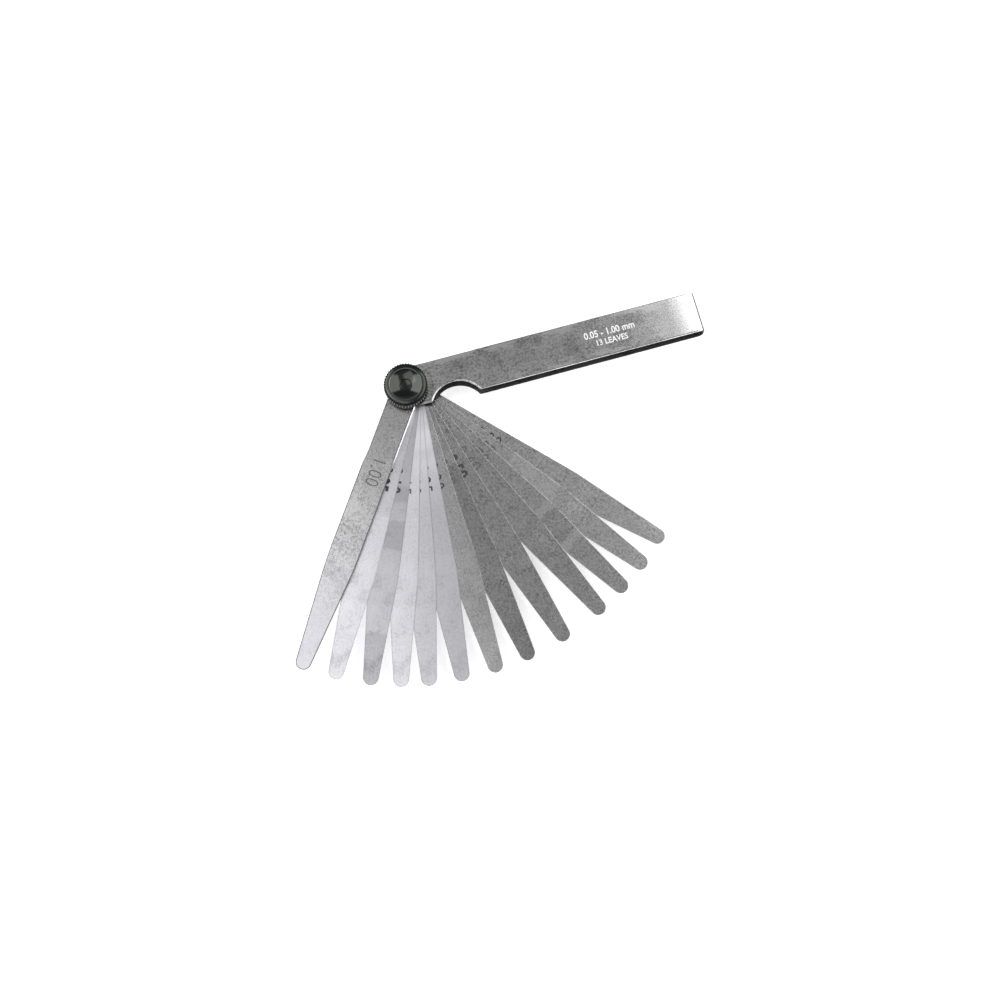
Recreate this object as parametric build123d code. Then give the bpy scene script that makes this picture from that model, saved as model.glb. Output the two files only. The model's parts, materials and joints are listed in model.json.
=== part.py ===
from build123d import *
import os
from math import asin, atan, cos, hypot, pi, sin, sqrt

# Leaf feeler gauge: thirteen steel leaves on one pivot screw, kept in a case folded from sheet steel
# and clamped by a knurled nut. Each piece is written to its own file.
#
# Millimetres. The origin is on the pivot axis, in the outer face of the screw's head. +X runs along
# the case to its folded end, +Z runs out through the nut, and the leaves are fanned out towards -Y.

# ------------------------------------------------------------------ driving dimensions: leaves

# thickness, and the angle from the case in degrees about +Z; the first leaf lies next to the nut
LEAVES = [
    (1.00, -124.7),
    (0.05, -118.2),
    (0.10, -111.5),
    (0.15, -105.7),
    (0.20, -100.4),
    (0.25, -94.1),
    (0.30, -87.5),
    (0.40, -80.9),
    (0.50, -73.2),
    (0.60, -64.5),
    (0.70, -58.3),
    (0.80, -52.2),
    (0.90, -45.9),
]
leaf_reach = 100.0  # pivot axis to leaf tip
leaf_width = 10.0
leaf_tip_radius = 2.57
leaf_taper_start = 63.4  # pivot axis to where the straight sides begin to close in
leaf_taper_blend = 150.0  # radius between the straight side and the taper
leaf_gap = 0.02  # film between neighbouring leaves, and between an outer leaf and the case

# ------------------------------------------------------------------ driving dimensions: case

case_sheet = 0.6
case_width = 14.0
case_tip_room = 2.4  # leaf tips to the inside of the folded end
case_bend_radius = 2.0  # inside radius of the two bends at the folded end
case_edge_radius = 0.4  # rounding of every outer edge
notch_radius = 9.3
notch_along = 15.6  # pivot axis to the notch's centre, along the case
notch_outside = 4.25  # the notch's centre lies this far outside the case's edge
notch_corner_radius = 0.8  # where the notch runs out into the case's edge

# ------------------------------------------------------------------ driving dimensions: pivot screw

head_radius = 4.5
head_height = 1.2
head_chamfer = 0.3
shoulder_radius = 2.5
neck_across_flats = 4.2  # the neck is flattened, so the case holds it against turning
shoulder_short = 0.3  # the shoulder ends this far inside the case, so the nut can clamp
thread_radius = 2.0
thread_chamfer = 0.1

# ------------------------------------------------------------------ driving dimensions: nut and washer

washer_radius = 5.5
washer_thickness = 0.5
nut_radius = 7.4  # over the crests of the knurl
nut_height = 4.1
nut_seat_radius = 6.5
nut_seat_height = 0.5
nut_rim_chamfer = 0.3
nut_face_fall = 0.35  # the domed face falls by this much from the dish's lip to the rim
knurl_teeth = 48
knurl_depth = 0.42
dish_radius = 5.35
dish_depth = 1.7
dish_lip_chamfer = 0.25

# ------------------------------------------------------------------ driving dimensions: clearances

running_clearance = 0.05  # radial: leaves on the shoulder, nut on the thread
hole_clearance = 0.1  # radial: case and washer round the thread, and the case round the neck
seat_gap = 0.02  # between the faces of the case, washer and nut

# ------------------------------------------------------------------ levels along Z, and ends along X

rear_plate_z = head_height
leaf_space_z = rear_plate_z + case_sheet
leaf_space = sum(thickness for thickness, _ in LEAVES) + leaf_gap * (len(LEAVES) + 1)
front_plate_z = leaf_space_z + leaf_space
case_top_z = front_plate_z + case_sheet
washer_z = case_top_z + seat_gap
nut_z = washer_z + washer_thickness + seat_gap
dish_floor_z = nut_z + nut_height - dish_depth
dish_rise = dish_depth - dish_lip_chamfer
dish_ball_radius = (dish_radius**2 + dish_rise**2) / (2 * dish_rise)

case_inner_end = leaf_reach + case_tip_room
case_outer_end = case_inner_end + case_sheet
leaf_hole_radius = shoulder_radius + running_clearance


def rod(radius, z_low, z_high):
    """A cylinder about the pivot axis between two heights."""
    return Pos(0, 0, z_low) * extrude(Circle(radius), z_high - z_low)


def leaf_outline():
    """Round pivot end, straight sides, and a long taper that runs tangent into the round tip."""
    half = leaf_width / 2
    tip_x = leaf_reach - leaf_tip_radius
    run = tip_x - leaf_taper_start
    slope = atan(half / run) - asin(leaf_tip_radius / hypot(run, half))
    touch_x = tip_x + leaf_tip_radius * sin(slope)
    touch_y = leaf_tip_radius * cos(slope)
    outline = Curve() + [
        Polyline((touch_x, touch_y), (leaf_taper_start, half), (0, half)),
        ThreePointArc((0, half), (-half, 0), (0, -half)),
        Polyline((0, -half), (leaf_taper_start, -half), (touch_x, -touch_y)),
        ThreePointArc((touch_x, -touch_y), (leaf_reach, 0), (touch_x, touch_y)),
    ]
    face = make_face(outline)
    corners = [v for v in face.vertices() if abs(v.X - leaf_taper_start) < leaf_gap]
    return fillet(corners, leaf_taper_blend) - Circle(leaf_hole_radius)


def make_leaves():
    """The stack, built down from the front plate; each leaf turns about the pivot by its own angle."""
    outline = leaf_outline()
    leaves = {}
    top = front_plate_z
    for thickness, angle in LEAVES:
        bottom = top - leaf_gap - thickness
        name = f"leaf_{thickness:.2f}mm".replace(".", "_")
        leaves[name] = Rot(0, 0, angle) * Pos(0, 0, bottom) * extrude(outline, thickness)
        top = bottom
    return leaves


def case_strip(x_end, z_low, z_high, bend_radius):
    """Side view of the folded strip: open at the pivot end, with two rounded corners at the other."""
    x_start = -case_width / 2
    side = make_face(Polyline(
        (x_start, z_low), (x_end, z_low), (x_end, z_high), (x_start, z_high), close=True
    ))
    corners = side.vertices().sort_by(Axis.X)[-2:]
    return fillet(corners, bend_radius)


def on_case_side(face):
    """Stands an outline up on the XZ plane and makes it as wide as the case."""
    return extrude(Plane.XZ * face, case_width / 2, both=True)


def make_case():
    """Two plates in one strip, with a round pivot end, a finger notch and the pivot holes."""
    outer = case_strip(case_outer_end, rear_plate_z, case_top_z, case_bend_radius + case_sheet)
    inner = case_strip(case_inner_end, leaf_space_z, front_plate_z, case_bend_radius)

    length = case_outer_end
    plan = Circle(case_width / 2) + Pos(length / 2, 0) * Rectangle(length, case_width)
    plan -= Pos(notch_along, -case_width / 2 - notch_outside) * Circle(notch_radius)
    notch_ends = [v for v in plan.vertices() if 0 < abs(v.X - notch_along) < notch_radius]
    plan = fillet(notch_ends, notch_corner_radius)

    block = on_case_side(outer) & extrude(plan, case_top_z + case_sheet)
    upright = block.edges().filter_by(Axis.Z).filter_by(lambda e: e.center().X < case_inner_end)
    block = fillet(block.edges() - upright, case_edge_radius)
    case = block - on_case_side(inner)

    neck_hole = Circle(shoulder_radius + hole_clearance) & Rectangle(
        neck_across_flats + 2 * hole_clearance, case_width
    )
    case -= extrude(neck_hole, leaf_space_z + leaf_space / 2)
    case -= rod(thread_radius + hole_clearance, front_plate_z - leaf_space / 2, case_top_z + case_sheet)
    return case


def make_pivot_screw():
    """Head behind the case, flattened neck, plain shoulder, and a threaded end hollowed to the nut's dish."""
    head = rod(head_radius, 0, head_height)
    head = chamfer(head.edges().sort_by(Axis.Z)[0], head_chamfer)
    neck_face = Circle(shoulder_radius) & Rectangle(neck_across_flats, case_width)
    neck = Pos(0, 0, head_height) * extrude(neck_face, case_sheet)
    shoulder = rod(shoulder_radius, leaf_space_z, front_plate_z - shoulder_short)
    thread = rod(thread_radius, front_plate_z - shoulder_short, dish_floor_z + dish_rise)
    thread -= Pos(0, 0, dish_floor_z + dish_ball_radius) * Sphere(dish_ball_radius)
    thread = chamfer(thread.edges().sort_by(Axis.Z)[-1], thread_chamfer)
    return head + neck + shoulder + thread


def make_washer():
    """Thin plain washer between the nut and the front plate."""
    hole = rod(thread_radius + hole_clearance, washer_z, washer_z + washer_thickness)
    return rod(washer_radius, washer_z, washer_z + washer_thickness) - hole


def make_nut():
    """Nut with a straight knurl and a domed face round the dish that the screw's end lies flush in."""
    step = 2 * pi / knurl_teeth
    root_radius = nut_radius - knurl_depth
    knurl = []
    for tooth in range(knurl_teeth):
        for radius, turn in ((nut_radius, tooth * step), (root_radius, (tooth + 0.5) * step)):
            knurl.append((radius * cos(turn), radius * sin(turn)))
    toothed = extrude(make_face(Polyline(*knurl, close=True)), nut_height)

    top = nut_height
    rim = nut_radius - nut_rim_chamfer
    rim_z = top - nut_face_fall
    lip = dish_radius + dish_lip_chamfer
    floor = top - dish_depth
    middle = dish_radius / 2
    middle_z = floor + dish_ball_radius - sqrt(dish_ball_radius**2 - middle**2)
    half_section = Curve() + [
        Polyline(
            (0, floor),
            (0, 0),
            (nut_seat_radius, 0),
            (nut_radius, nut_seat_height),
            (nut_radius, rim_z - nut_rim_chamfer),
            (rim, rim_z),
        ),
        ThreePointArc((rim, rim_z), ((rim + lip) / 2, top - nut_face_fall / 4), (lip, top)),
        Line((lip, top), (dish_radius, top - dish_lip_chamfer)),
        ThreePointArc((dish_radius, top - dish_lip_chamfer), (middle, middle_z), (0, floor)),
    ]
    blank = revolve(Plane.XZ * make_face(half_section), Axis.Z)
    nut = (toothed & blank) - extrude(Circle(thread_radius + running_clearance), nut_height)
    return Pos(0, 0, nut_z) * nut


os.makedirs("parts", exist_ok=True)
pieces = {
    "case": make_case(),
    "pivot_screw": make_pivot_screw(),
    "nut_washer": make_washer(),
    "knurled_nut": make_nut(),
    **make_leaves(),
}
for node, shape in pieces.items():
    export_step(shape, f"parts/{node}.step")
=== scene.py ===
import json
import math

import bmesh
import bpy
from bpy.props import FloatProperty, FloatVectorProperty, IntProperty, PointerProperty, StringProperty
from mathutils import Matrix, Vector


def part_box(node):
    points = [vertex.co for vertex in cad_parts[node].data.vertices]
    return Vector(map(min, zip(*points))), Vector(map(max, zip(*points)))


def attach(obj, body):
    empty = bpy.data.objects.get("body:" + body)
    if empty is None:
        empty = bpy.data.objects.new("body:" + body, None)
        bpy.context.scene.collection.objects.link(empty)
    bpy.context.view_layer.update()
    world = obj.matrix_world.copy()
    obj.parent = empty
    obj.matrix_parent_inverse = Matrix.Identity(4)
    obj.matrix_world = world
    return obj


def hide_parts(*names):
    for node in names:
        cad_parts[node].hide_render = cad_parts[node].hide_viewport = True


bl_info = {
    "name": "Feeler Gauge",
    "version": (1, 0, 0),
    "blender": (4, 5, 0),
    "location": "View3D > Sidebar > Feeler Gauge",
    "description": "Finishes, thickness marks, knurled nut and studio for a leaf feeler gauge",
    "category": "Object",
}

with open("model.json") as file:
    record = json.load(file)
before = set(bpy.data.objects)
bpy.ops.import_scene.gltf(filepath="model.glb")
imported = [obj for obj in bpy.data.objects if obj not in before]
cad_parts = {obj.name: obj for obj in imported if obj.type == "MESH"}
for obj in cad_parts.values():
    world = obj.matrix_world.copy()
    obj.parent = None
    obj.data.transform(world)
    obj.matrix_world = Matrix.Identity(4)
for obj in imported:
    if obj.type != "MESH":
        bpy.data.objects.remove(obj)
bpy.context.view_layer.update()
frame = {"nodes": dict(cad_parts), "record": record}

MM = 0.001
LEAF_PREFIX = "leaf_"
LEAF_NAMES = sorted(name for name in frame["nodes"] if name.startswith(LEAF_PREFIX))
MARK_PROUD = 0.008 * MM  # an etched mark stands this far above its steel

# soft light panels: compass in the picture, lean from overhead, distance, size across and along, strength
PANELS = {
    "panel_right": (20.0, 52.8, 0.80, (0.90, 1.12), 1.9),
    "panel_left": (163.0, 52.0, 0.80, (0.85, 0.70), 2.4),
    "panel_front": (205.0, 20.0, 0.90, (0.70, 0.55), 1.35),
}

# light of the room by the height of a direction, 0 level and 1 overhead: where it begins and is full
ROOM_OVERHEAD = (0.72, 0.88)
ROOM_LOW_WALLS = (0.48, 0.24)
FLOOR_HALF = 12.0  # so wide that its edge lies far behind the gauge from every side

# outline of a leaf, for its worn edges, its painted edge lines and the painted shade on its walls
LEAF_HALF_WIDTH = 5.0 * MM
LEAF_TIP_HALF = 2.57 * MM
LEAF_TAPER_FROM = 63.4 * MM
LEAF_TAPER_TO = 97.43 * MM
WALL_SHADE_FROM = 23.0 * MM  # a leaf's dark wall begins to show here, as it comes out from the other leaves
FULL_WALL_SHADE_FROM = 30.0 * MM

# how much the grain, the lay and the stains darken a leaf, and what they add to its roughness
THIN_STEEL = {
    "grain": 0.24, "lay": 0.06, "stain": 0.14, "rough": 0.30, "grain_rough": 0.05, "stain_rough": 0.05,
}
THICK_STEEL = {
    "grain": 0.86, "lay": 0.08, "stain": 0.08, "rough": 0.18, "grain_rough": 0.07, "stain_rough": 0.04,
}
SHADOW_TONE = 0.24  # brightness of the deepest shadow in the grain

# brightness of each leaf against the others of its finish, from its own wear and handling
GROUND_SHADES = {
    "1_00mm": 1.0, "0_30mm": 1.12, "0_40mm": 0.82, "0_50mm": 0.95, "0_60mm": 1.0, "0_70mm": 1.08,
    "0_80mm": 1.26, "0_90mm": 1.24,
}
BRIGHT_SHADES = {"0_05mm": 0.92, "0_10mm": 0.72, "0_15mm": 0.92, "0_20mm": 0.80, "0_25mm": 0.74}

# handling marks across a leaf: from and to along it, and how much darker; below 0 is rubbed brighter
HANDLING = {
    "1_00mm": ((8.0, 50.0, -0.18),),
    "0_05mm": ((12.0, 44.0, 0.10), (84.0, 101.0, 0.08)),
    "0_10mm": ((33.5, 39.0, 0.20), (45.0, 55.0, 0.22), (83.0, 94.0, 0.22), (94.0, 101.0, 0.25)),
    "0_25mm": ((74.0, 101.0, 0.04),),
    "0_30mm": ((65.0, 85.0, 0.08),),
    "0_40mm": ((12.0, 30.0, -0.24), (86.0, 101.0, 0.08)),
    "0_70mm": ((60.5, 63.0, -0.34), (63.0, 73.5, 0.10), (73.5, 76.5, -0.30), (92.0, 101.0, 0.06)),
    "0_80mm": ((42.0, 62.0, -0.12),),
}

# a softer grain than the other thick leaves have, and thin leaves whose pivot end is paler
SOFT_GRAIN = {"0_30mm": 0.62}
PALE_ROOTS = {"0_15mm": 0.45, "0_20mm": 0.55, "0_25mm": 0.60}

# where a leaf's grain is polished away: from and to along it, and its brightness against a thin leaf's
POLISHED = {"1_00mm": (46.0, 84.0, 0.64)}

# the marks that are etched dark, that sit nearer the pivot, whose stroke weight isn't 0, and that lie a
# little off the middle of their leaf
DARK_MARKS = ("0_05mm", "0_10mm", "0_20mm", "0_25mm", "0_30mm", "0_50mm", "0_90mm")
MARK_NEARER = {"1_00mm": 1.1 * MM}
MARK_WEIGHTS = {"1_00mm": -0.012, "0_05mm": 0.03, "0_10mm": 0.025, "0_50mm": 0.035}
MARK_LOW = ("0_05mm", "0_10mm", "0_15mm", "0_20mm", "0_25mm", "0_30mm")
MARK_LOW_BY = 0.3 * MM


# ---------------------------------------------------------------- places read from the frame


def leaf_text(leaf):
    """leaf_0_05mm carries the mark 0.05."""
    return leaf.removeprefix(LEAF_PREFIX).removesuffix("mm").replace("_", ".")


def leaf_angle(leaf):
    """The leaf's direction from the pivot, which its mount for a gap points along."""
    mount_name = "gap_" + leaf.removeprefix(LEAF_PREFIX)
    for mount in frame["record"]["mounts"]:
        if mount["name"] == mount_name:
            return math.atan2(mount["axis"][1], mount["axis"][0])
    raise RuntimeError(f"no mount tells the direction of {leaf}")


# ---------------------------------------------------------------- node trees


class Socket:
    """A node socket that takes part in sums: an operator adds the Math node that works it out."""

    def __init__(self, tree, socket):
        self.tree = tree
        self.socket = socket

    def math(self, operation, *operands):
        node = self.tree.nodes.new("ShaderNodeMath")
        node.operation = operation
        for target, operand in zip(node.inputs, operands):
            connect(self.tree, target, operand)
        return Socket(self.tree, node.outputs[0])

    def __add__(self, other):
        return self.math("ADD", self, other)

    def __radd__(self, other):
        return self.math("ADD", other, self)

    def __sub__(self, other):
        return self.math("SUBTRACT", self, other)

    def __rsub__(self, other):
        return self.math("SUBTRACT", other, self)

    def __mul__(self, other):
        return self.math("MULTIPLY", self, other)

    def __rmul__(self, other):
        return self.math("MULTIPLY", other, self)

    def __truediv__(self, other):
        return self.math("DIVIDE", self, other)

    def __rtruediv__(self, other):
        return self.math("DIVIDE", other, self)

    def __pow__(self, other):
        return self.math("POWER", self, other)

    def __abs__(self):
        return self.math("ABSOLUTE", self)

    def fraction(self):
        return self.math("FRACT", self)

    def least(self, other):
        return self.math("MINIMUM", self, other)

    def greatest(self, other):
        return self.math("MAXIMUM", self, other)

    def held(self):
        """Kept between 0 and 1."""
        return self.greatest(0.0).least(1.0)

    def rise(self, low, high):
        """0 below low, 1 above high, and a straight slope between; high may be the smaller."""
        return ((self - low) / (high - low)).held()


def connect(tree, target, value):
    """Links a socket, or sets a plain value."""
    if isinstance(value, Socket):
        tree.links.new(value.socket, target)
    else:
        target.default_value = value


class Tree:
    """Adds nodes to one tree. A node that ends its tree has no output, so node() returns None for it."""

    def __init__(self, tree):
        self.tree = tree

    def node(self, kind, settings=None, inputs=None, output=0):
        made = self.tree.nodes.new(kind)
        for name, value in (settings or {}).items():
            setattr(made, name, value)
        for name, value in (inputs or {}).items():
            connect(self.tree, made.inputs[name], value)
        return Socket(self.tree, made.outputs[output]) if made.outputs else None

    def axes(self, where):
        """The three parts of a vector."""
        made = self.tree.nodes.new("ShaderNodeSeparateXYZ")
        connect(self.tree, made.inputs[0], where)
        return tuple(Socket(self.tree, output) for output in made.outputs)


class Finish(Tree):
    """One material, with helpers for the patterns that the finishes share."""

    def __init__(self, name):
        self.material = bpy.data.materials.new(name)
        self.material.use_nodes = True
        super().__init__(self.material.node_tree)
        self.tree.nodes.clear()

    def place(self, turn=0.0, stretch=(1.0, 1.0, 1.0)):
        """Object coordinates turned back by an angle about Z, then scaled."""
        where = self.node("ShaderNodeTexCoord", output="Object")
        turned = self.node("ShaderNodeMapping", {}, {"Vector": where, "Rotation": (0, 0, -turn)})
        return self.node("ShaderNodeMapping", {}, {"Vector": turned, "Scale": stretch})

    def noise(self, where, grain, detail=2.0, roughness=0.5):
        """Noise between 0 and 1 whose features are about one grain wide."""
        return self.node(
            "ShaderNodeTexNoise",
            {"noise_dimensions": "3D"},
            {"Vector": where, "Scale": 1 / grain, "Detail": detail, "Roughness": roughness},
            output="Fac",
        )

    def speckle(self, where):
        """The broken grain of a lapped surface: fine pits that gather in looser and tighter clusters."""
        pits = self.noise(where, 0.85 * MM, 2.0, 0.7).rise(0.46, 0.58)
        dust = self.noise(where, 0.50 * MM, 1.0, 0.5).rise(0.42, 0.60)
        gather = self.noise(where, 4.0 * MM, 2.0, 0.6).rise(0.25, 0.75)
        return (pits * 0.6 + dust * 0.4) * (gather * 0.7 + 0.45)

    def blend(self, share, first, second):
        """first where share is 0, second where it is 1."""
        made = self.tree.nodes.new("ShaderNodeMix")
        made.data_type = "RGBA"
        connect(self.tree, made.inputs["Factor"], share)
        connect(self.tree, made.inputs[6], colour(first))
        connect(self.tree, made.inputs[7], colour(second))
        return Socket(self.tree, made.outputs[2])

    def relief(self, height, depth, under=None):
        """A bump of that depth, on top of another bump where one is given."""
        inputs = {"Height": height, "Distance": depth, "Strength": 1.0}
        if under is not None:
            inputs["Normal"] = under
        return self.node("ShaderNodeBump", {}, inputs)

    def surface(self, **inputs):
        """Ends the material in a Principled BSDF; keywords are its inputs with _ for a space."""
        named = {name.replace("_", " "): value for name, value in inputs.items()}
        if not isinstance(named["Base Color"], Socket):
            named["Base Color"] = colour(named["Base Color"])
        shader = self.node("ShaderNodeBsdfPrincipled", {}, named)
        self.node("ShaderNodeOutputMaterial", {"target": "ALL"}, {"Surface": shader})
        return self.material


def colour(value):
    """A colour with its alpha, or a socket as it is."""
    if isinstance(value, Socket):
        return value
    return (*value[:3], 1.0)


def dimmed(tone, share):
    """A colour at a share of its brightness."""
    return [channel * share for channel in tone]


def paint(node_name, material):
    """Gives a CAD node its finish."""
    mesh = frame["nodes"][node_name].data
    mesh.materials.clear()
    mesh.materials.append(material)


# ---------------------------------------------------------------- finishes


def depth_inside(along, across):
    """How far a point of a leaf lies inside the outline, round at both ends and tapered before the tip."""
    ahead = (along - LEAF_TAPER_TO).greatest(0.0)
    behind = (0.0 - along).greatest(0.0)
    side = (across * across + ahead * ahead + behind * behind) ** 0.5
    narrowed = along.rise(LEAF_TAPER_FROM, LEAF_TAPER_TO) * (LEAF_HALF_WIDTH - LEAF_TIP_HALF)
    return LEAF_HALF_WIDTH - narrowed - side


def handling_bands(size, ragged):
    """Ragged bands across a leaf, darkened by hands or rubbed bright."""
    handled = 0.0
    for start, end, darker in HANDLING.get(size, ()):
        first = (start + 1.0) * MM
        last = (end + 1.0) * MM
        band = ragged.rise(first, first + 1.0 * MM) * ragged.rise(last + 1.0 * MM, last)
        handled = band * darker + handled
    return handled


def painted_wall_shade(size, inside, beyond):
    """Painted shade on the sheared edge wall, beyond the nut; a polished leaf's is wider, with a painted
    shade line beside its edge near the pivot.
    """
    if size not in POLISHED:
        return (1.0 - inside.rise(0.01 * MM, 0.03 * MM)) * beyond
    wall = (1.0 - inside.rise(0.20 * MM, 0.34 * MM)) * beyond
    pivot_shade_line = (1.0 - abs(inside - 0.60 * MM) / (0.16 * MM)).held() * (1.0 - beyond)
    return wall.greatest(pivot_shade_line * 0.8)


def rounded_edge(finish, size, inside, beyond):
    """The bump of the edge's rounding; a polished leaf's is wide, and only near the pivot."""
    width, depth = (0.42 * MM, 0.17 * MM) if size in POLISHED else (0.16 * MM, 0.014 * MM)
    crown = 1.0 - (1.0 - inside.rise(0.0, width)) ** 2.0
    if size in POLISHED:
        crown = (crown - 1.0) * (1.0 - beyond)
    return finish.relief(crown, depth)


def leaf_finish(leaf, settings):
    """Spring steel with a fine ground or rolled grain and stains, laid along its leaf, with a painted shade
    line on a thin leaf's edges, edges rubbed bright with a painted highlight line on a thick leaf, and
    painted shade on the sheared walls.
    """
    size = leaf.removeprefix(LEAF_PREFIX)
    thin = size in BRIGHT_SHADES
    shade = BRIGHT_SHADES[size] if thin else GROUND_SHADES[size]
    tone = dimmed(settings.bright_colour if thin else settings.ground_colour, shade)
    steel = THIN_STEEL if thin else THICK_STEEL
    finish = Finish(f"{leaf}_steel")
    angle = leaf_angle(leaf)
    where = finish.place(angle)
    along, across, _ = finish.axes(where)

    speckle = finish.speckle(where)
    lay = finish.noise(finish.place(angle, (0.04, 1.0, 1.0)), 0.5 * MM, 2.0, 0.6).rise(0.35, 0.65)
    patch = finish.noise(where, 8.0 * MM, 3.0, 0.55)
    stain = patch.rise(0.55, 0.62)
    clean = 1.0 - patch.rise(0.34, 0.44)
    ragged = along + finish.noise(where, 3.0 * MM, 3.0, 0.6) * (3.0 * MM)

    inside = depth_inside(along, across)
    edge = 1.0 - inside.rise(0.08 * MM, 0.35 * MM)
    beyond = along.rise(WALL_SHADE_FROM, FULL_WALL_SHADE_FROM).greatest(along.rise(0.0, -1.0 * MM))
    wall = painted_wall_shade(size, inside, beyond)

    grain = SOFT_GRAIN.get(size, steel["grain"])
    shadow = speckle * grain + lay * steel["lay"] + stain * steel["stain"] + handling_bands(size, ragged)
    shadow = (shadow - clean * 0.06).held()
    rough = steel["rough"] + speckle * steel["grain_rough"] + stain * steel["stain_rough"]
    base = finish.blend(shadow, tone, dimmed(tone, SHADOW_TONE))
    if size in PALE_ROOTS:
        root = 1.0 - ragged.rise(18.0 * MM, 46.0 * MM)
        base = finish.blend(root * PALE_ROOTS[size], base, settings.root_colour)
    if size in POLISHED:
        start, end, polish_tone = POLISHED[size]
        polish = ragged.rise(start * MM, end * MM)
        base = finish.blend(polish, base, dimmed(settings.bright_colour, polish_tone))
    # painted edge line: on thin leaves a painted shade line, on thick leaves edges rubbed bright with a
    # painted highlight line
    painted_edge_line_and_wear = settings.thin_edge_shade_colour if thin else settings.rubbed_edge_painted_highlight_colour
    base = finish.blend(edge * (0.65 if size in POLISHED else 0.4), base, painted_edge_line_and_wear)
    # painted shade: the sheared wall and the strip beside it are darkened to the wall shade colour
    base = finish.blend(wall * 0.85, base, settings.wall_shade_colour)
    skin = None if thin else rounded_edge(finish, size, inside, beyond)
    skin = finish.relief(speckle + lay * 0.5, 0.002 * MM, skin)
    return finish.surface(Base_Color=base, Metallic=1.0, Roughness=rough, Normal=skin)


def case_finish(settings):
    """Satin sheet steel: a ring worn round the pivot, smears near the edges, a smoother end whose brighter
    colour is a painted reflection, and painted shade inside the fold and under the nut at the round end.
    """
    finish = Finish("case_satin")
    low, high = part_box("case")
    where = finish.place()
    x, y, z = finish.axes(where)
    radius = (x * x + y * y) ** 0.5

    speckle = finish.speckle(where)
    lay = finish.noise(finish.place(0.0, (0.05, 1.0, 1.0)), 0.5 * MM, 2.0, 0.6).rise(0.35, 0.65)
    ring = (1.0 - (abs(radius - settings.worn_ring_radius) / (0.4 * MM))).held()
    patch = finish.noise(where, 9.0 * MM, 3.0, 0.6).rise(0.48, 0.62)
    streaks = finish.noise(finish.place(0.0, (0.25, 1.0, 1.0)), 2.5 * MM, 3.0, 0.6)
    smear = streaks.rise(0.50, 0.60) * abs(y).rise(3.5 * MM, 6.6 * MM)
    # the far end is smoother, and its brighter colour is a painted reflection
    polished = x.rise(high.x - settings.bright_end, high.x - settings.bright_end_full)
    shadow = speckle * 0.76 + lay * 0.10 + ring * 0.3 + patch * 0.20
    shadow = (shadow - smear * 0.75 - polished * 0.5).held()
    base = finish.blend(shadow, settings.steel_colour, dimmed(settings.steel_colour, 0.22))

    face = settings.sheet - 0.02 * MM
    within = settings.sheet - 0.03 * MM
    # the inner faces of the fold: they are rougher, and their dark colour below is painted shade
    inner = z.rise(low.z + within, low.z + face) * z.rise(high.z - within, high.z - face)
    inner = inner * x.rise(high.x - settings.sheet * 0.4, high.x - settings.sheet * 0.5)
    # painted shadow: the round end's side and edge under the nut are darkened like the inside of the fold
    painted_nut_shadow = radius.rise(6.3 * MM, 6.8 * MM) * (1.0 - x.rise(3.0 * MM, 4.5 * MM))
    base = finish.blend((inner * 0.85).greatest(painted_nut_shadow * 0.9), base, settings.painted_fold_shade_colour)
    rough = 0.13 + speckle * 0.04 + inner * 0.3 - polished * 0.05
    skin = finish.relief(speckle + lay * 0.5, 0.0007 * MM)
    return finish.surface(Base_Color=base, Metallic=1.0, Roughness=rough, Normal=skin)


def oxide_finish(settings):
    """Oiled black oxide on turned steel, worn grey on the lip of the nut's dish."""
    finish = Finish("oiled_oxide")
    where = finish.place()
    x, y, z = finish.axes(where)
    radius = (x * x + y * y) ** 0.5
    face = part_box("knurled_nut")[1].z
    mottle = finish.noise(where, 0.5 * MM, 3.0, 0.7).rise(0.35, 0.7)
    near_face = z.rise(face - 0.75 * MM, face - 0.65 * MM)
    lip = (1.0 - abs(radius - settings.dish_radius - 0.10 * MM) / (0.14 * MM)).held()
    worn = lip * near_face * (0.55 + mottle * 0.45)
    base = finish.blend(mottle * 0.5, settings.oxide_colour, settings.oiled_colour)
    base = finish.blend(worn, base, settings.worn_colour)
    rough = 0.12 + mottle * 0.06 + worn * 0.15
    outside_dish = radius.rise(settings.dish_radius, settings.dish_radius + 0.2 * MM)
    tool_pitch = 0.24 * MM
    grooves = abs((radius / tool_pitch).fraction() * 2.0 - 1.0) * outside_dish
    skin = finish.relief(mottle, 0.001 * MM, finish.relief(grooves, 0.008 * MM))
    return finish.surface(
        Base_Color=base, Metallic=worn, Roughness=rough, Normal=skin, IOR=1.66,
        Specular_Tint=(0.93, 1.0, 0.95, 1.0),
    )


def knurl_finish(settings):
    """Matte black oxide on the knurl and the rim, rubbed grey on the crests of the teeth."""
    finish = Finish("knurl_oxide")
    where = finish.place()
    x, y, z = finish.axes(where)
    radius = (x * x + y * y) ** 0.5
    low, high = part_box("knurled_nut")
    mottle = finish.noise(where, 0.4 * MM, 3.0, 0.7).rise(0.35, 0.7)
    crests = radius.rise(high.x - 0.14 * MM, high.x - 0.05 * MM)
    crests = crests * z.rise(low.z + 0.6 * MM, low.z + 1.2 * MM)
    crests = crests * z.rise(high.z - 0.8 * MM, high.z - 1.3 * MM)
    worn = (crests * (0.35 + mottle * 0.65)).held()
    base = finish.blend(mottle * 0.5, settings.oxide_colour, settings.oiled_colour)
    base = finish.blend(worn, base, dimmed(settings.worn_colour, 1.6))
    skin = finish.relief(mottle, 0.004 * MM)
    return finish.surface(
        Base_Color=base, Metallic=worn, Roughness=0.45 - worn * 0.15, Normal=skin,
        Specular_IOR_Level=0.12,
    )


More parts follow.
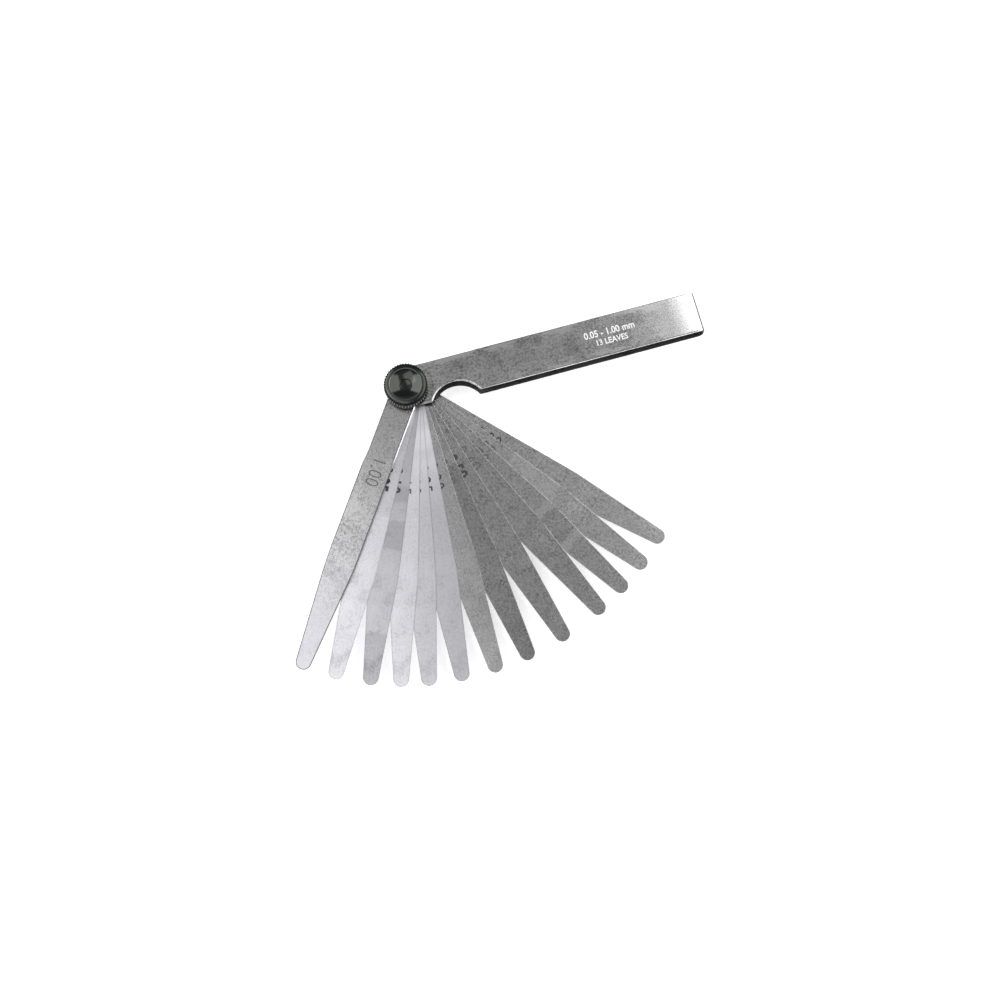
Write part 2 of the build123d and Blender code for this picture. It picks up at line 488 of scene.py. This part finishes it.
def mark_finish(name, tone, metallic, roughness):
    """Etched lettering: matte, with the broken edge of an acid mark."""
    finish = Finish(name)
    where = finish.place()
    fleck = finish.noise(where, 0.15 * MM, 2.0, 0.6).rise(0.35, 0.75)
    base = finish.blend(fleck * 0.5, tone, [channel * 0.7 + 0.05 for channel in tone])
    return finish.surface(Base_Color=base, Metallic=metallic, Roughness=roughness + fleck * 0.1)


# ---------------------------------------------------------------- mesh helpers


def add_piece(name, mesh, body):
    piece = bpy.data.objects.new(name, mesh)
    bpy.context.scene.collection.objects.link(piece)
    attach(piece, body)
    return piece


def lettering(name, lines, body, material, to_place, weight, spacing):
    """Raised flat lettering. lines is (text, height, width share, x, y) in the plane that to_place sets."""
    shapes = bmesh.new()
    for text, height, narrow, x, y in lines:
        curve = bpy.data.curves.new(name, "FONT")
        curve.body = text
        curve.align_x = "CENTER"
        curve.align_y = "CENTER"
        curve.size = 1.0
        curve.offset = weight
        curve.space_character = spacing
        curve.resolution_u = 3
        curve.extrude = 0.5
        holder = bpy.data.objects.new(name, curve)
        flat = bpy.data.meshes.new_from_object(holder)
        tall = max(v.co.y for v in flat.vertices) - min(v.co.y for v in flat.vertices)
        scale = height / tall
        flat.transform(Matrix.Diagonal((scale * narrow, scale, 2 * MARK_PROUD, 1.0)))
        flat.transform(Matrix.Translation((x, y, 0.0)))
        shapes.from_mesh(flat)
        bpy.data.objects.remove(holder)
        bpy.data.curves.remove(curve)
        bpy.data.meshes.remove(flat)
    bmesh.ops.remove_doubles(shapes, verts=shapes.verts, dist=0.001 * MM)
    bmesh.ops.recalc_face_normals(shapes, faces=shapes.faces)
    shapes.transform(to_place)
    mesh = bpy.data.meshes.new(name)
    shapes.to_mesh(mesh)
    shapes.free()
    mesh.materials.append(material)
    return add_piece(name, mesh, body)


def rounded_outline(corners, steps=4):
    """Points of an outline; each corner is (across, up, radius), and radius 0 leaves it sharp."""
    points = []
    for index, (across, up, radius) in enumerate(corners):
        here = Vector((across, up))
        if radius == 0:
            points.append(here)
            continue
        to_last = (Vector(corners[index - 1][:2]) - here).normalized()
        to_next = (Vector(corners[index + 1][:2]) - here).normalized()
        half = to_last.angle(to_next) / 2
        centre = here + (to_last + to_next).normalized() * radius / math.sin(half)
        start = here + to_last * radius / math.tan(half) - centre
        sweep = start.angle_signed(here + to_next * radius / math.tan(half) - centre)
        for step in range(steps + 1):
            turn = -sweep * step / steps
            points.append(centre + Matrix.Rotation(turn, 2) @ start)
    return points


# ---------------------------------------------------------------- settings


def tint(name, description, value):
    return FloatVectorProperty(
        name=name, description=description, subtype="COLOR", default=value, min=0, max=1
    )


def length(name, description, value):
    return FloatProperty(name=name, description=description, default=value, unit="LENGTH", precision=5)


class GaugeLeafSettings(bpy.types.PropertyGroup):
    bright_colour: tint("Thin leaves", "Rolled finish of the thin leaves", (0.80, 0.79, 0.84))
    ground_colour: tint("Thick leaves", "Ground finish of the thick leaves", (0.66, 0.66, 0.66))
    root_colour: tint("Pale root", "Pivot end of some thin leaves", (0.97, 0.96, 1.0))
    # painted shade: this dark colour of a leaf's sheared wall stands in for the shade on it
    wall_shade_colour: tint("Wall", "Dark sheared wall of a leaf", (0.06, 0.06, 0.065))
    # painted edge lines: the thin edge colour is a painted shade line, and the rubbed edge colour is wear
    # with a painted highlight line
    thin_edge_shade_colour: tint("Thin edge", "Edges of the thin leaves", (0.28, 0.28, 0.30))
    rubbed_edge_painted_highlight_colour: tint("Rubbed edge", "Edges rubbed bright", (0.72, 0.72, 0.73))
    mark_colour: tint("Mark", "Etched thickness mark", (0.035, 0.035, 0.04))
    faint_mark_colour: tint("Faint mark", "Mark that is rubbed or thinly etched", (0.11, 0.11, 0.11))
    mark_height: length("Mark height", "Height of a numeral", 4.6 * MM)
    mark_reach: length("Mark reach", "Pivot axis to the middle of the mark", 31.6 * MM)
    mark_narrow: FloatProperty(
        name="Mark width", description="Width of a numeral as a share of its drawn width",
        default=0.83, min=0.3, max=1.5)


class GaugeCaseSettings(bpy.types.PropertyGroup):
    steel_colour: tint("Steel", "Satin sheet steel", (0.90, 0.90, 0.905))
    worn_ring_radius: length("Worn ring", "Radius of the ring worn round the pivot", 9.0 * MM)
    # painted shade: this dark colour stands in for the shade inside the fold and under the nut at the round
    # end
    painted_fold_shade_colour: tint("Inside", "Oiled inside of the fold", (0.03, 0.03, 0.03))
    sheet: length("Sheet", "Thickness of the sheet", 0.6 * MM)
    # painted reflection: where the end's brighter colour begins and is full, which is also where it is
    # smoother
    bright_end: length("Bright end", "The polished end begins this far from the fold", 16.5 * MM)
    bright_end_full: length("Bright end, full", "And is fully polished this far from it", 11.0 * MM)
    range_text: StringProperty(
        name="Range", description="First line on the case", default="0.05 - 1.00 mm")
    count_text: StringProperty(
        name="Count", description="Second line on the case", default="13 LEAVES")
    text_height: length("Text height", "Height of a letter", 2.5 * MM)
    text_reach: length("Text reach", "Pivot axis to the middle of the text", 71.3 * MM)
    text_colour: tint("Text", "Bright etched text", (0.92, 0.92, 0.93))


class GaugeNutSettings(bpy.types.PropertyGroup):
    teeth: IntProperty(name="Teeth", description="Teeth of the straight knurl", default=48, min=12)
    tooth_depth: length("Tooth depth", "Crest to root", 0.42 * MM)
    rim_chamfer: length("Rim chamfer", "Chamfer between the face and the knurl", 0.3 * MM)
    lip_chamfer: length("Lip chamfer", "Chamfer between the dish and the face", 0.25 * MM)
    face_fall: length("Face fall", "How far the domed face falls from the dish to the rim", 0.35 * MM)
    black_rim: length("Black rim", "How far the knurl's matte black runs up the dome", 0.14 * MM)
    broken_edge: length("Broken edge", "Rounding of the turned edges", 0.06 * MM)
    seat_radius: length("Seat radius", "Underside that bears on the washer", 6.5 * MM)
    seat_height: length("Seat height", "Height of the cone under the knurl", 0.5 * MM)
    dish_radius: length("Dish radius", "Round dish in the face", 5.35 * MM)
    dish_depth: length("Dish depth", "Face to the floor of the dish", 1.7 * MM)
    bore_radius: length("Bore radius", "Thread hole", 2.05 * MM)
    bore_chamfer: length("Bore chamfer", "Lead-in of the thread hole", 0.3 * MM)
    oxide_colour: tint("Oxide", "Black oxide", (0.0015, 0.0025, 0.002))
    oiled_colour: tint("Oiled oxide", "Lighter, oily places in the oxide", (0.005, 0.008, 0.006))
    worn_colour: tint("Worn oxide", "Edges where the oxide is rubbed thin", (0.34, 0.35, 0.34))


class GaugeStageSettings(bpy.types.PropertyGroup):
    floor_colour: tint("Floor", "Pale floor", (0.92, 0.92, 0.92))
    floor_glow: FloatProperty(
        name="Floor glow", description="Light that the floor gives off, as a light table does",
        default=0.5, min=0)
    room_light: FloatProperty(
        name="Room light", description="Strength of the even light", default=0.29, min=0)
    room_shade: FloatProperty(
        name="Room shade", description="Share of the room light that is left halfway down the walls",
        default=0.40, min=0, max=1)
    room_walls: FloatProperty(
        name="Room walls", description="Light of the low walls against the light overhead",
        default=2.6, min=0)
    panel_light: FloatProperty(
        name="Panel light", description="Strength of the light panels", default=1.0, min=0)
    turn: FloatProperty(
        name="Turn", description="How far the case is turned in the picture",
        default=math.radians(15.34), unit="ROTATION")
    tilt: FloatProperty(
        name="Tilt", description="Camera's lean from straight down", default=math.radians(11.75),
        unit="ROTATION")
    distance: length("Distance", "Camera to the point it looks at", 0.523)
    lens: FloatProperty(name="Lens", description="Focal length", default=57.45, unit="CAMERA")
    aim: FloatVectorProperty(
        name="Aim", description="Point on the case's face that the camera looks at",
        default=(0.0190, -0.0434), size=2, unit="LENGTH", precision=4)


# ---------------------------------------------------------------- operators


class GAUGE_OT_leaves(bpy.types.Operator):
    """Give each leaf its steel"""

    bl_idname = "gauge.leaves"
    bl_label = "Leaves"

    def execute(self, context):
        settings = context.scene.gauge_leaves
        for leaf in LEAF_NAMES:
            paint(leaf, leaf_finish(leaf, settings))
        return {"FINISHED"}


class GAUGE_OT_marks(bpy.types.Operator):
    """Etch its thickness on each leaf, reading from the pivot to the tip"""

    bl_idname = "gauge.marks"
    bl_label = "Thickness marks"

    def execute(self, context):
        settings = context.scene.gauge_leaves
        dark = mark_finish("etched_mark", settings.mark_colour, 0.2, 0.55)
        faint = mark_finish("faint_mark", settings.faint_mark_colour, 0.5, 0.45)
        for leaf in LEAF_NAMES:
            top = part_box(leaf)[1].z
            size = leaf.removeprefix(LEAF_PREFIX)
            reach = settings.mark_reach - MARK_NEARER.get(size, 0.0)
            to_leaf = Matrix.Rotation(leaf_angle(leaf), 4, "Z") @ Matrix.Translation((reach, 0.0, top))
            up = -MARK_LOW_BY if size in MARK_LOW else 0.0
            line = (leaf_text(leaf), settings.mark_height, settings.mark_narrow, 0.0, up)
            ink = dark if size in DARK_MARKS else faint
            weight = MARK_WEIGHTS.get(size, 0.0)
            lettering(f"mark_{size}", [line], leaf, ink, to_leaf, weight, 1.06)
        return {"FINISHED"}


class GAUGE_OT_case(bpy.types.Operator):
    """Finish the folded case and its two lines of text"""

    bl_idname = "gauge.case"
    bl_label = "Case"

    def execute(self, context):
        settings = context.scene.gauge_case
        paint("case", case_finish(settings))
        ink = mark_finish("etched_text", settings.text_colour, 0.3, 0.6)
        height = settings.text_height
        lines = [
            (settings.range_text, height, 0.86, 0.0, 0.45 * height),
            (settings.count_text, height * 0.85, 0.88, 0.0, -0.85 * height),
        ]
        to_case = Matrix.Translation((settings.text_reach, 0.0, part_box("case")[1].z))
        lettering("case_text", lines, "case", ink, to_case, 0.02, 1.0)
        return {"FINISHED"}


class GAUGE_OT_screw(bpy.types.Operator):
    """Finish the pivot screw and the washer"""

    bl_idname = "gauge.screw"
    bl_label = "Pivot screw and washer"

    def execute(self, context):
        oxide = bpy.data.materials.get("oiled_oxide") or oxide_finish(context.scene.gauge_nut)
        paint("pivot_screw", oxide)
        paint("nut_washer", oxide)
        return {"FINISHED"}


def knurl_tree():
    """Cuts a straight knurl into a turned blank: every point is drawn in to the tooth's outline."""
    tree = bpy.data.node_groups.new("straight_knurl", "GeometryNodeTree")
    tree.interface.new_socket("Geometry", in_out="INPUT", socket_type="NodeSocketGeometry")
    for name in ("Crest Radius", "Tooth Depth", "Teeth", "Rim Height"):
        tree.interface.new_socket(name, in_out="INPUT", socket_type="NodeSocketFloat")
    for name in ("Material", "Knurl Material"):
        tree.interface.new_socket(name, in_out="INPUT", socket_type="NodeSocketMaterial")
    tree.interface.new_socket("Geometry", in_out="OUTPUT", socket_type="NodeSocketGeometry")
    maker = Tree(tree)
    given = tree.nodes.new("NodeGroupInput")
    blank, crest, depth, teeth, rim, material, knurl_material = (
        Socket(tree, output) for output in given.outputs[:7]
    )

    x, y, z = maker.axes(maker.node("GeometryNodeInputPosition"))
    radius = (x * x + y * y) ** 0.5
    turn = y.math("ARCTAN2", y, x) / math.tau
    phase = (turn * teeth + teeth).fraction()
    groove = (1.0 - abs(phase * 2.0 - 1.0)).rise(0.15, 0.85)  # flat crests and flat roots
    cut = radius.least(crest - depth * groove)
    share = cut / radius.greatest(0.01 * MM)
    moved = maker.node("ShaderNodeCombineXYZ", {}, {"X": x * share, "Y": y * share, "Z": z})
    knurled = maker.node("GeometryNodeSetPosition", {}, {"Geometry": blank, "Position": moved})
    smooth = maker.node("GeometryNodeSetShadeSmooth", {}, {"Geometry": knurled})
    whole = maker.node("GeometryNodeRealizeInstances", {}, {"Geometry": smooth})
    painted = maker.node("GeometryNodeSetMaterial", {}, {"Geometry": whole, "Material": material})
    outer = radius.math("GREATER_THAN", radius, crest - depth * 1.6)  # the wall and the foot of the dome
    below_rim = z.math("LESS_THAN", z, rim)
    painted = maker.node(
        "GeometryNodeSetMaterial", {},
        {"Geometry": painted, "Selection": outer * below_rim, "Material": knurl_material},
    )
    result = tree.nodes.new("NodeGroupOutput")
    connect(tree, result.inputs[0], painted)
    return tree


def nut_outline(settings, crest, tall):
    """Half section of the nut, from the bore round the dish, the domed face and the wall to the seat."""
    floor = tall - settings.dish_depth
    rise = settings.dish_depth - settings.lip_chamfer
    ball = (settings.dish_radius**2 + rise**2) / (2 * rise)
    dish_steps = 12
    dish = []
    for step in range(dish_steps):
        across = settings.bore_radius + (settings.dish_radius - settings.bore_radius) * step / dish_steps
        dish.append((across, floor + ball - math.sqrt(ball**2 - across**2), 0))

    lip, rim = settings.dish_radius + settings.lip_chamfer, crest - settings.rim_chamfer
    rim_z = tall - settings.face_fall
    wall_z = rim_z - settings.rim_chamfer
    dome_steps = 8
    dome = []
    for step in range(1, dome_steps):
        share = step / dome_steps
        dome.append((lip + (rim - lip) * share, tall - settings.face_fall * share**2, 0))

    broken = settings.broken_edge
    bore_edge = settings.bore_radius + settings.bore_chamfer
    straight = 0.2 * MM  # a short stretch at each end of the wall, so that its shading stays flat
    return rounded_outline([
        *dish,
        (settings.dish_radius, tall - settings.lip_chamfer, 0.04 * MM),
        (lip, tall, broken),
        *dome,
        (rim, rim_z, broken),
        (crest, wall_z, broken),
        (crest, wall_z - straight, 0),
        (crest, settings.seat_height + straight, 0),
        (crest, settings.seat_height, broken),
        (settings.seat_radius, 0, broken),
        (bore_edge, 0, 0),
        (settings.bore_radius, settings.bore_chamfer, 0),
    ])


def turned(name, outline, steps, lift):
    """A mesh turned about the pivot axis from a closed outline, lifted to its place."""
    blank = bmesh.new()
    ring = [blank.verts.new((across, 0.0, lift + up)) for across, up in outline]
    edges = [blank.edges.new((a, b)) for a, b in zip(ring, ring[1:] + ring[:1])]
    bmesh.ops.spin(
        blank, geom=ring + edges, cent=(0, 0, 0), axis=(0, 0, 1), angle=math.tau, steps=steps, use_merge=True
    )
    bmesh.ops.remove_doubles(blank, verts=blank.verts, dist=0.002 * MM)
    bmesh.ops.recalc_face_normals(blank, faces=blank.faces)
    mesh = bpy.data.meshes.new(name)
    blank.to_mesh(mesh)
    blank.free()
    return mesh


class GAUGE_OT_nut(bpy.types.Operator):
    """Turn the nut's blank, knurl it and put it in place of the plain one"""

    bl_idname = "gauge.nut"
    bl_label = "Knurled nut"

    def execute(self, context):
        settings = context.scene.gauge_nut
        low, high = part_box("knurled_nut")
        crest, tall = high.x, high.z - low.z
        facets_per_tooth = 8
        mesh = turned(
            "nut_blank", nut_outline(settings, crest, tall), settings.teeth * facets_per_tooth, low.z
        )
        holder = bpy.data.objects.new("nut_blank", mesh)
        context.scene.collection.objects.link(holder)

        tree = knurl_tree()
        knurl = holder.modifiers.new("Knurl", "NODES")
        knurl.node_group = tree
        values = {
            "Crest Radius": crest,
            "Tooth Depth": settings.tooth_depth,
            "Teeth": float(settings.teeth),
            "Rim Height": high.z - settings.face_fall + settings.black_rim,
            "Material": bpy.data.materials.get("oiled_oxide") or oxide_finish(settings),
            "Knurl Material": knurl_finish(settings),
        }
        for item in tree.interface.items_tree:
            if item.in_out == "INPUT" and item.name in values:
                knurl[item.identifier] = values[item.name]
        context.view_layer.update()
        shown = holder.evaluated_get(context.evaluated_depsgraph_get())
        finished = bpy.data.meshes.new_from_object(shown)
        bpy.data.objects.remove(holder)
        nut = add_piece("nut_knurled", finished, "knurled_nut")
        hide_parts("knurled_nut")
        return {"FINISHED"}


class GAUGE_OT_stage(bpy.types.Operator):
    """Lay the floor, hang the light panels and set the camera"""

    bl_idname = "gauge.stage"
    bl_label = "Stage"

    def execute(self, context):
        settings = context.scene.gauge_stage
        scene = context.scene
        self.floor(settings)
        scene.world = self.room(settings)

        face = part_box("case")[1].z
        aim = Vector((*settings.aim, face))
        for name, (compass, lean, distance, size, strength) in PANELS.items():
            round_about = Matrix.Rotation(math.radians(compass) - settings.turn, 4, "Z")
            leaning = Matrix.Rotation(math.radians(lean), 4, "Y")
            direction = Matrix.Translation(aim) @ round_about @ leaning
            self.panel(name, direction, distance, size, strength * settings.panel_light)

        camera = bpy.data.objects.new("camera", bpy.data.cameras.new("camera"))
        camera.data.lens = settings.lens
        camera.data.sensor_width = 36.0
        camera.rotation_euler = (settings.tilt, 0.0, -settings.turn)
        back = camera.rotation_euler.to_matrix() @ Vector((0, 0, 1))
        camera.location = aim + back * settings.distance
        camera.data.clip_start = 0.01
        scene.collection.objects.link(camera)
        scene.camera = camera
        scene.view_settings.view_transform = "Standard"
        return {"FINISHED"}

    def room(self, settings):
        """Even light, brighter overhead and from the low walls."""
        room = bpy.data.worlds.new("room")
        room.use_nodes = True
        background = room.node_tree.nodes["Background"]
        background.inputs["Color"].default_value = (1.0, 1.0, 1.0, 1.0)
        maker = Tree(room.node_tree)
        _, _, up = maker.axes(maker.node("ShaderNodeTexCoord", output="Generated"))
        lit = up.rise(*ROOM_OVERHEAD).greatest(up.rise(*ROOM_LOW_WALLS) * settings.room_walls)
        strength = (lit * (1.0 - settings.room_shade) + settings.room_shade) * settings.room_light
        connect(room.node_tree, background.inputs["Strength"], strength)
        return room

    def floor(self, settings):
        mesh = bpy.data.meshes.new("floor")
        half = FLOOR_HALF
        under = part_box("pivot_screw")[0].z - 0.01 * MM
        mesh.from_pydata(
            [(-half, -half, under), (half, -half, under), (half, half, under), (-half, half, under)],
            [], [(0, 1, 2, 3)],
        )
        finish = Finish("floor")
        mesh.materials.append(finish.surface(
            Base_Color=settings.floor_colour, Roughness=0.9,
            Emission_Color=colour(settings.floor_colour), Emission_Strength=settings.floor_glow,
        ))
        floor = bpy.data.objects.new("floor", mesh)
        bpy.context.scene.collection.objects.link(floor)

    def panel(self, name, direction, distance, size, strength):
        """A soft panel, equally bright from every side, that faces the gauge."""
        light = bpy.data.lights.new(name, "AREA")
        light.shape = "RECTANGLE"
        light.size, light.size_y = size[1], size[0]
        light.energy = strength * math.pi * size[0] * size[1]
        panel = bpy.data.objects.new(name, light)
        panel.matrix_world = direction @ Matrix.Translation((0.0, 0.0, distance))
        bpy.context.scene.collection.objects.link(panel)


class GAUGE_PT_panel(bpy.types.Panel):
    """Lists the gauge's pieces in the sidebar"""

    bl_idname = "GAUGE_PT_panel"
    bl_label = "Feeler Gauge"
    bl_space_type = "VIEW_3D"
    bl_region_type = "UI"
    bl_category = "Feeler Gauge"

    def draw(self, context):
        for operator in OPERATORS:
            self.layout.operator(operator.bl_idname)


OPERATORS = (
    GAUGE_OT_leaves, GAUGE_OT_marks, GAUGE_OT_case, GAUGE_OT_nut, GAUGE_OT_screw, GAUGE_OT_stage,
)
SETTINGS = {
    "gauge_leaves": GaugeLeafSettings,
    "gauge_case": GaugeCaseSettings,
    "gauge_nut": GaugeNutSettings,
    "gauge_stage": GaugeStageSettings,
}


def register():
    for name, group in SETTINGS.items():
        bpy.utils.register_class(group)
        setattr(bpy.types.Scene, name, PointerProperty(type=group))
    for operator in OPERATORS:
        bpy.utils.register_class(operator)
    bpy.utils.register_class(GAUGE_PT_panel)


def unregister():
    bpy.utils.unregister_class(GAUGE_PT_panel)
    for operator in reversed(OPERATORS):
        bpy.utils.unregister_class(operator)
    for name, group in reversed(SETTINGS.items()):
        delattr(bpy.types.Scene, name)
        bpy.utils.unregister_class(group)


def main():
    register()
    bpy.ops.gauge.leaves()
    bpy.ops.gauge.marks()
    bpy.ops.gauge.case()
    bpy.ops.gauge.nut()
    bpy.ops.gauge.screw()
    bpy.ops.gauge.stage()


if __name__ == "__main__":
    main()
